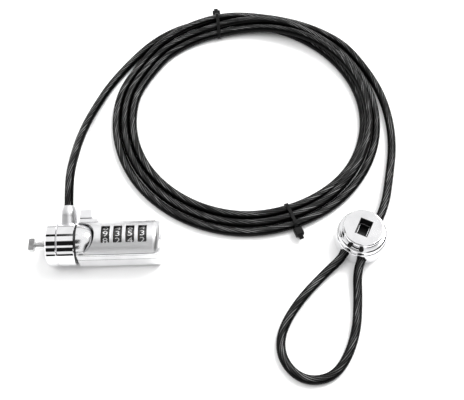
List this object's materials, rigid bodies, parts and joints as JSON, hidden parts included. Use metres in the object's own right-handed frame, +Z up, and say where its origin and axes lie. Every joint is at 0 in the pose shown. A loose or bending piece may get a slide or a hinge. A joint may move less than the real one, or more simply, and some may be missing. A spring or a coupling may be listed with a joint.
{
  "type": "laptop cable lock",
  "caption": "Combination laptop cable lock: chrome dial head with T-bar and swivel ring, coiled black steel cable held by ties, and a round chrome loop puck.",
  "frame": {"origin": "on the table, centred under the lock head: middle of the head's length and of its width from ring to knob", "axes": "+X along the lock's axis from the T-bar's tip to the body's far end, +Y towards the cable and knob side, +Z up out of the dial windows"},
  "size_m": [0.1898, 0.2316, 0.0226],
  "materials": {
    "shell_chrome": "mirror-polished plated zinc",
    "cover_satin": "satin silver, slightly grained",
    "ring_chrome": "mirror-polished plated zinc",
    "ferrule_chrome": "bright plated dome",
    "knob_chrome": "bright plated",
    "t_bar_steel": "hardened steel, machined",
    "inner_steel": "turned steel",
    "bushing_brass": "turned brass",
    "dial_black": "black dials with light engraved digits",
    "sleeve_brass": "turned brass",
    "frame_plastic": "moulded black",
    "washer_plastic": "black acetal",
    "screw_steel": "zinc-plated steel",
    "cable_jacket": "smoke-black clear jacket over twisted steel strands",
    "tie_nylon": "black nylon",
    "puck_chrome": "mirror-polished plated zinc",
    "socket_black": "black moulded insert"
  },
  "bodies": {
    "cable_side": {"swivel_ring": "ring_chrome", "cable_ferrule": "ferrule_chrome", "cable_stop": "inner_steel", "cable_lead": "cable_jacket", "cable_coil": "cable_jacket", "cable_tail_loop": "cable_jacket", "cable_tie_1": "tie_nylon", "cable_tie_2": "tie_nylon", "puck_base": "puck_chrome", "puck_cap": "puck_chrome", "puck_socket": "socket_black", "puck_screws": "screw_steel", "loop_crimp": "inner_steel"},
    "lock_head": {"body_shell": "shell_chrome", "top_cover": "cover_satin", "front_bezel": "shell_chrome", "nose_ring": "ring_chrome", "core_tube": "inner_steel", "front_bushing": "bushing_brass", "rear_bushing": "bushing_brass", "spacer_washer": "washer_plastic", "dial_frame": "frame_plastic", "dial_detent_spring": "inner_steel", "floor_screws": "screw_steel", "knob_guide": "knob_chrome"},
    "reset_screw_part": {"reset_screw": "screw_steel"},
    "t_bar_part": {"t_bar": "t_bar_steel", "cam_drum": "inner_steel"},
    "knob_part": {"knob": "knob_chrome", "slider_block": "inner_steel", "cam_pin": "inner_steel", "locking_rod": "inner_steel"},
    "dial_part_1": {"dial_1": "dial_black", "clutch_sleeve_1": "sleeve_brass"},
    "dial_part_2": {"dial_2": "dial_black", "clutch_sleeve_2": "sleeve_brass"},
    "dial_part_3": {"dial_3": "dial_black", "clutch_sleeve_3": "sleeve_brass"},
    "dial_part_4": {"dial_4": "dial_black", "clutch_sleeve_4": "sleeve_brass"}
  },
  "joints": [
    {"name": "head_swivel", "type": "hinge", "parent": "cable_side", "child": "lock_head", "pos_m": [-0.01285, -0.0029, 0.0105], "axis": [1, 0, 0], "continuous": true},
    {"name": "knob_slide", "type": "slide", "parent": "lock_head", "child": "knob_part", "axis": [1, 0, 0], "range_m": [0, 0.003]},
    {"name": "t_bar_turn", "type": "hinge", "parent": "lock_head", "child": "t_bar_part", "pos_m": [-0.0224, -0.0029, 0.0105], "axis": [1, 0, 0], "range_deg": [0, 90]},
    {"name": "reset_screw_turn", "type": "hinge", "parent": "lock_head", "child": "reset_screw_part", "pos_m": [0.0314, -0.0029, 0.0151], "axis": [1, 0, 0], "range_deg": [0, 90]},
    {"name": "dial_1_turn", "type": "hinge", "parent": "lock_head", "child": "dial_part_1", "pos_m": [0.00625, -0.0029, 0.0151], "axis": [1, 0, 0], "continuous": true},
    {"name": "dial_2_turn", "type": "hinge", "parent": "lock_head", "child": "dial_part_2", "pos_m": [0.01213, -0.0029, 0.0151], "axis": [1, 0, 0], "continuous": true},
    {"name": "dial_3_turn", "type": "hinge", "parent": "lock_head", "child": "dial_part_3", "pos_m": [0.01801, -0.0029, 0.0151], "axis": [1, 0, 0], "continuous": true},
    {"name": "dial_4_turn", "type": "hinge", "parent": "lock_head", "child": "dial_part_4", "pos_m": [0.02389, -0.0029, 0.0151], "axis": [1, 0, 0], "continuous": true}
  ],
  "couplings": [
    {"joint": "t_bar_turn", "follows": "knob_slide", "rad_per_m": 523.59}
  ]
}
